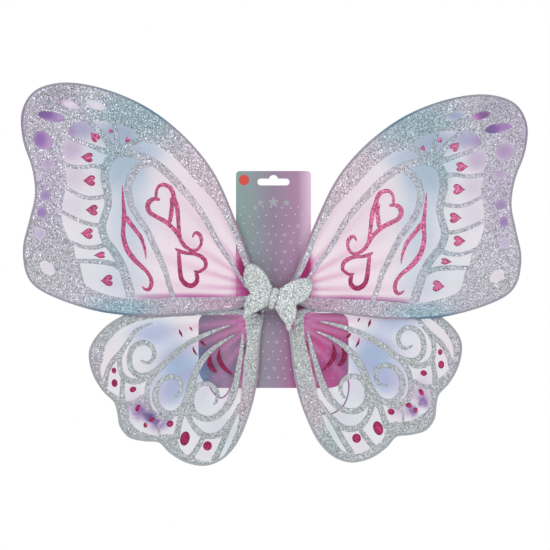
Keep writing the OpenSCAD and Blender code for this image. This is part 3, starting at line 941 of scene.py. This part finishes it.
def border(wing):
    """The wide glitter border: all of the wing but its field and the windows in its edge."""
    outer = inset(wing.outline, 0.5)
    shape = UPPER_FIELD if wing.upper else LOWER_FIELD + LOWER_TOPS[wing.sign]
    field = wing.place(spline(shape, 2.0, closed=True))
    holes = [roughened(field)]
    if wing.upper:
        holes += [roughened(wing.place(ellipse(*w))) for w in UPPER_WINDOWS]
    flat, triangles, rim = triangulate([outer] + holes, 2.6)
    base = wing.surface(flat)
    return plate(flat, triangles, rim, base - GLITTER_T, base)


def inset(loop, distance):
    """A loop moved inward by a small distance."""
    along = np.roll(loop, -1, axis=0) - np.roll(loop, 1, axis=0)
    out = np.stack([along[:, 1], -along[:, 0]], axis=1)
    out /= np.linalg.norm(out, axis=1)[:, None]
    return loop - out * distance * (1 if signed_area(loop) > 0 else -1)


def roughened(loop):
    """A loop with the slightly ragged edge that bonded glitter has."""
    shift = [[0.35 * noise.noise(Vector((x, z, 1.7))), 0.35 * noise.noise(Vector((x, z, 5.3)))]
             for x, z in loop * 0.9]
    return loop + np.array(shift)


def make_wing(wing, materials):
    """The fabric, its rolled hem, the wire in it and the glitter on it."""
    flat, triangles, rim = triangulate([wing.outline], 2.2)
    middle = wing.surface(flat)
    verts, faces = plate(flat, triangles, rim, middle - SHEET_T / 2, middle + SHEET_T / 2)
    colours = wing.ink(flat_of(verts), clear=True)
    slot = "wing_mesh_upper" if wing.upper else "wing_mesh_lower"
    sheet = make_piece(f"{wing.name}_sheet", verts, faces, materials["sheer"], wing.body,
                       slot, colours)
    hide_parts(f"{wing.name}_mesh")

    veins = UPPER_VEINS if wing.upper else LOWER_VEINS
    verts, faces = join([border(wing)] + ribbons(wing, veins, GLITTER_T + 0.03, 0.012))
    silver_piece = make_piece(f"{wing.name}_silver_glitter", verts, faces, materials["silver"],
                              wing.body, "silver_glitter", wing.ink(flat_of(verts)),
                              smooth=False)

    # Depth is 0 where the pink is pale and 1 where it is deep.
    parts = ribbons(wing, UPPER_SWASHES if wing.upper else LOWER_CRESCENTS, PINK_T, 0.01)
    if wing.upper:
        right = wing.unplace(flat_of(join(parts)[0]))
        depth = np.clip(1.1 - np.hypot(right[:, 0] - 82, right[:, 1] - 4) / 60, 0.25, 1)
        solid = [patch(wing, heart(*place), PINK_T) for place in UPPER_HEARTS]
        pale, deep = (0.82, 0.45, 0.61), (0.60, 0.13, 0.35)
    else:
        depth = np.ones(len(join(parts)[0]))
        solid = [patch(wing, ellipse(*dot), PINK_T) for dot in LOWER_DOTS]
        pale, deep = (0.68, 0.16, 0.38), (0.50, 0.05, 0.25)
    for verts, _ in solid:
        rim = (len(verts) - 1) // 2
        depth = np.concatenate([depth, [0.95] * rim, [0.5] * rim, [0.0]])
    verts, faces = join(parts + solid)
    pale, deep = linear(pale), linear(deep)
    if wing.sign < 0:         # the left-hand print's pink is deeper
        depth = 0.35 + 0.65 * depth
    colours = pale + depth[:, None] * (deep - pale)
    pink_piece = make_piece(f"{wing.name}_pink_glitter", verts, faces, materials["pink"],
                            wing.body, "pink_glitter", colours, smooth=False)

    hem = make_hem(wing, materials["hem"])
    make_wire(wing, materials["wire"])
    make_tie(wing, materials["thread"])


def root_index(wing):
    """Where on the outline the frame meets its pin."""
    return int(np.argmin(np.hypot(*(wing.outline - wing.base * (wing.sign, 1)).T)))


def make_hem(wing, material):
    """A roll of fabric round the wire with a stitch every few millimetres. It stops short of
    the root."""
    loop = np.roll(wing.outline, -root_index(wing), axis=0)
    run = run_along(loop)
    bare, pitch, radius, nip = 2.5, 4.2, 1.2, 0.14
    line = spline(loop[(run > bare) & (run < run[-1] - bare)], 1.0)
    along = run_along(line)
    stitch = np.exp(-((along % pitch - pitch / 2) / 0.7) ** 2)
    ends = np.minimum(1, 0.82 + np.minimum(along, along[-1] - along) / 6)
    radii = (radius - nip * stitch) * ends
    verts, faces = tube(at_depth(line, wing.plane), radii, 10, False)
    plan = UPPER_HEM if wing.upper else LOWER_HEM
    colours = linear(ink_at(plan, wing.unplace(flat_of(verts))))
    return make_piece(f"{wing.name}_hem", verts, faces, material, wing.body, "wire_wrap", colours)


def make_wire(wing, material):
    """The frame: one loop of wire and the straight pin that turns in its sleeve."""
    loop = wing.outline
    parts = [tube(at_depth(loop, wing.plane), np.full(len(loop), WIRE_D / 2), 10, True)]
    low, high = wing.pin
    pin = [(wing.sign * AXIS_X, AXIS_Y, z) for z in np.linspace(low, high, 6)]
    ends = [0.8, 1, 1, 1, 1, 0.8]
    parts.append(tube(pin, np.array(ends) * WIRE_D / 2, 12, False))
    piece = make_piece(f"{wing.name}_wire_core", *join(parts), material, wing.body, "frame_wire")
    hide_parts(f"{wing.name}_wire")


def make_tie(wing, material):
    """Thread wound round the root: one long helix, fuller in the middle."""
    low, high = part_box(f"{wing.name}_tie")
    centre, half = (low + high) * 500, (high - low) * 500
    thread, turns = 0.24, 7
    t = np.linspace(0, 1, turns * 20 + 1)
    radius = half.x - thread - 0.12 * (2 * t - 1) ** 2
    angle = 2 * math.pi * turns * t
    path = np.stack([centre.x + radius * np.cos(angle), centre.y + radius * np.sin(angle),
                     centre.z + (2 * t - 1) * (half.z - thread)], axis=1)
    parts = [tube(path, np.full(len(path), thread), 6, False, across=(0, 0, 1))]
    core = [(centre.x, centre.y, centre.z + s * (half.z - 0.1)) for s in (-1, -0.8, 0, 0.8, 1)]
    fat = np.array([0.7, 0.95, 1, 0.95, 0.7]) * (half.x - 1.4 * thread)
    parts.append(tube(core, fat, 20, False))
    piece = make_piece(f"{wing.name}_root_thread", *join(parts), material, wing.body, "thread")
    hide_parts(f"{wing.name}_tie")


# ---- Butterfly ----

LEAN = turn_by(-BUTTERFLY_LEAN)     # its columns point across and up the leaning butterfly


def lean_frame(points):
    """Row X and Z from places across and up the leaning butterfly."""
    return BUTTERFLY_AT + np.asarray(points, float) @ LEAN.T


def lean_place(points):
    """Places across and up the leaning butterfly, from row X and Z."""
    return (points - np.array(BUTTERFLY_AT)) @ LEAN


def pillow(node, spacing, edge, bulge=0.0, waves=0.0, joined=0.0):
    """A soft slab in a CAD node's place: its faces round over towards the edge, but less so
    where it runs in under the butterfly's body, by the joined distance."""
    low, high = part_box(node)
    front, back = low.y * 1000, high.y * 1000
    loop = spline(front_loop(node), spacing * 0.7, closed=True)
    across = lean_place(loop)[:, 0]
    inner = np.exp(-((np.abs(across) - BODY_HALF) / 1.2) ** 2) * joined
    loop = loop - inner[:, None] * np.sign(across)[:, None] * LEAN[:, 0]
    flat, triangles, rim = triangulate([loop], spacing)
    far, _ = distance_to(flat, loop)
    t = np.clip(far / edge, 0, 1)
    full = np.sqrt(np.clip(1 - (1 - t) ** 2, 0, 1))
    if joined:
        full = np.maximum(full, 0.85 * np.exp(-((lean_place(flat)[:, 0]) / 5.2) ** 4))
    middle, half = (front + back) / 2, (back - front) / 2
    ripple = waves * full * np.array([noise.noise(Vector((x / 5.5, z / 5.5, 0.4)))
                                      for x, z in flat])
    depth = half * (0.22 + 0.78 * full)
    swell = bulge * (1 - np.exp(-far / 5))
    return plate(flat, triangles, rim, middle - depth - swell + ripple, middle + depth)


def make_butterfly(material, foam):
    """Two soft wings, the knobbly body between them and the foam behind."""
    for side in ("left", "right"):
        soft = pillow(f"butterfly_{side}_wing", 1.3, 2.0, bulge=0.7, waves=0.5, joined=1.0)
        piece = make_piece(f"butterfly_{side}_foam", *soft, material,
                           f"butterfly_{side}", "butterfly_foam")
        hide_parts(f"butterfly_{side}_wing")
    low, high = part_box("butterfly_body")
    middle, half = (low.y + high.y) * 500, (high.y - low.y) * 500
    rings, sides = 41, 24
    foot, length, widest = -11.9, 22.4, 4.07
    verts = []
    for i in range(rings):
        t = i / (rings - 1)
        lump = 3.3 + 0.75 * abs(math.sin(math.pi * (3 * t))) ** 0.7
        round_off = math.sqrt(max(0.0, 1 - (2 * t - 1) ** 8))
        radius = lump * round_off + 0.02
        for k in range(sides):
            a = 2 * math.pi * k / sides
            across = radius * math.cos(a) * (1.0 if t > 0.3 else 0.85)
            (x, z), = lean_frame([(across, foot + length * t)])
            verts.append((x, middle + half * (radius / widest) * math.sin(a), z))
    faces = skin(rings, sides) + [tuple(range(sides - 1, -1, -1)),
                                  tuple(range((rings - 1) * sides, rings * sides))]
    piece = make_piece("butterfly_body_foam", verts, faces, material, "hub", "butterfly_foam")
    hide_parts("butterfly_body")
    piece = make_piece("butterfly_foam_mount", *pillow("butterfly_mount", 1.2, 1.0), foam,
                       "hub", "foam_mount")
    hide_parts("butterfly_mount")


# ---- Hub and straps ----

def make_pad(material):
    """The felt towards the wearer's back."""
    piece = make_piece("back_pad_felt", *pillow("back_pad", 1.2, 1.3), material, "hub", "felt")
    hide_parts("back_pad")


def make_strap(side, route, material):
    """A round elastic that hangs in a loop behind the card, both ends in crimps."""
    sign = -1 if side == "left" else 1
    path = spline([(sign * x, y, z) for x, y, z in route], 1.2)
    round_cord = tube(path, np.full(len(path), ELASTIC_D / 2), 12, False)
    piece = make_piece(f"{side}_elastic", *round_cord, material, "hub", "elastic")
    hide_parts(f"{side}_strap")


# ---- Card ----

def star(x, z, size, points=5, waist=0.42, turn=90.0):
    """A star whose points are at size from its middle, and its notches at waist times that."""
    t = np.radians(turn + np.arange(2 * points) * 180 / points)
    r = np.where(np.arange(2 * points) % 2 == 0, size, size * waist)
    return np.stack([x + r * np.cos(t), z + r * np.sin(t)], axis=1)


def raised(loop, front, height):
    """A low closed shape standing on a face that looks towards -Y."""
    n = len(loop)
    middle = loop.mean(axis=0)
    back = at_depth(loop, front)
    top = back - (0, height, 0)
    return np.concatenate([back, top, [(middle[0], front - height, middle[1])]]), dome(n)


def star_outline(x, z, size, turn, front, height):
    """A star drawn in line: the ring between two stars."""
    outer, inner = star(x, z, size, turn=turn), star(x, z, size * 0.62, turn=turn)
    n = len(outer)
    back = at_depth(np.concatenate([outer, inner]), front)
    verts = np.concatenate([back, back - (0, height, 0)])
    faces = []
    for i in range(n):
        j = (i + 1) % n
        faces += [(i, j, n + j, n + i), (2 * n + i, 3 * n + i, 3 * n + j, 2 * n + j),
                  (i, 2 * n + i, 2 * n + j, j), (n + i, n + j, 3 * n + j, 3 * n + i)]
    return verts, faces


def make_card_print(materials):
    """Small stars and dots over the card, a plain round mark and a row of plain stars."""
    low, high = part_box("hang_card")
    bare_below, bare_above, lobe_top, narrow, wide = 6, 26, -18, 33, 68
    lowest, highest = low.z * 1000 + bare_below, high.z * 1000 - bare_above
    random = np.random.default_rng(7)
    ink, height = [], 0.05
    pitch = 9.0
    rows = int((highest - lowest) / pitch)
    for row in range(rows):
        z = lowest + pitch * (row + 0.5)
        reach = narrow if z > lobe_top else wide
        for x in np.arange(-reach, reach + 1, pitch):
            sx = x - 1 + (row % 2) * pitch / 2 + random.uniform(-1.6, 1.6)
            sz = z + random.uniform(-1.6, 1.6)
            kind, turn = random.integers(4), random.uniform(0, 72)
            if abs(sx + 1) > reach:
                continue
            if kind == 0:
                ink.append(star_outline(sx, sz, 2.2, turn, CARD_FRONT, height))
            elif kind == 1:
                ink.append(raised(star(sx, sz, 1.3, points=4, waist=0.35), CARD_FRONT, height))
            else:
                ink.append(raised(ellipse(sx, sz, 0.75, 0.75, count=10), CARD_FRONT, height))
    make_piece("card_stars", *join(ink), materials["pale_ink"], "hub", "card", smooth=False)
    row = [raised(star(x, 97 + 0.9 * (1 - abs(x + 1) / 14), size), CARD_FRONT, 0.08)
           for x, size in ((-14, 4.4), (-1, 6.4), (12, 4.4))]
    make_piece("card_silver_stars", *join(row), materials["foil"], "hub", "card", smooth=False)
    mark = raised(ellipse(-30.5, 120, 5.2, 5.2, count=32), CARD_FRONT, 0.08)
    make_piece("card_round_mark", *mark, materials["mark"], "hub", "card", smooth=False)


# ---- Everything ----

def main():
    """Builds the whole scene."""
    make_camera()
    elastic = braid("elastic_braid", (0.86, 0.60, 0.72), 0.9)
    make_strap("left", LEFT_ROUTE, elastic)
    make_strap("right", RIGHT_ROUTE, elastic)
    make_stage()
    make_light()

    wings = {"sheer": sheer_mesh(), "hem": hem_fabric(),
             "silver": glitter("silver_glitter", 0.5, 0.38, (0.55, 1.0), 0.52, 1.72, 0.5),
             "pink": glitter("pink_glitter", 0.45, 0.36, (0.6, 1.1), 0.42, 1.75, 0.6),
             "wire": plain("coated_wire", (0.64, 0.64, 0.68), 0.8, 0.02, 0.4, Metallic=0.4),
             "thread": braid("pale_thread", (0.74, 0.64, 0.70), 0.35)}
    for level in ("upper", "lower"):
        for side in ("left", "right"):
            make_wing(Wing(level, side), wings)

    foam = glitter("foam_glitter", 0.35, 0.36, (0.6, 1.1), 0.45, 1.55, 0.5,
                   (0.56, 0.60, 0.60, 1))
    make_butterfly(foam, plain("white_foam", (0.88, 0.87, 0.89), 0.6, 0.15, 0.9))
    make_pad(plain("mauve_felt", (0.56, 0.47, 0.57), 0.5, 0.3, 0.95, Sheen_Weight=0.5))
    make_card_print({
        "pale_ink": plain("pale_ink", (0.80, 0.77, 0.85), 0.5, 0.01, 0.4, 0.06),
        "foil": plain("silver_foil", (0.80, 0.82, 0.84), 1.5, 0.02, 0.25, 0.1, Metallic=0.8),
        "mark": plain("mark_ink", (0.84, 0.30, 0.26), 0.6, 0.01, 0.4, 0.05)})

    steel = plain("crimp_steel", (0.72, 0.73, 0.75), 0.35, 0.02, 0.3, Metallic=1.0)
    cad_looks = {
        "hang_card": card_print(),
        "centre_block": plain("moulded_grey", (0.60, 0.58, 0.63), 1.2, 0.03, 0.45, 0.04),
        "left_sleeve": steel, "right_sleeve": steel,
        "left_strap_crimps": steel, "right_strap_crimps": steel}
    for node, material in cad_looks.items():
        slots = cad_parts[node].data.materials
        slots.clear()
        slots.append(material)

    bpy.context.scene.view_settings.view_transform = "Standard"


main()
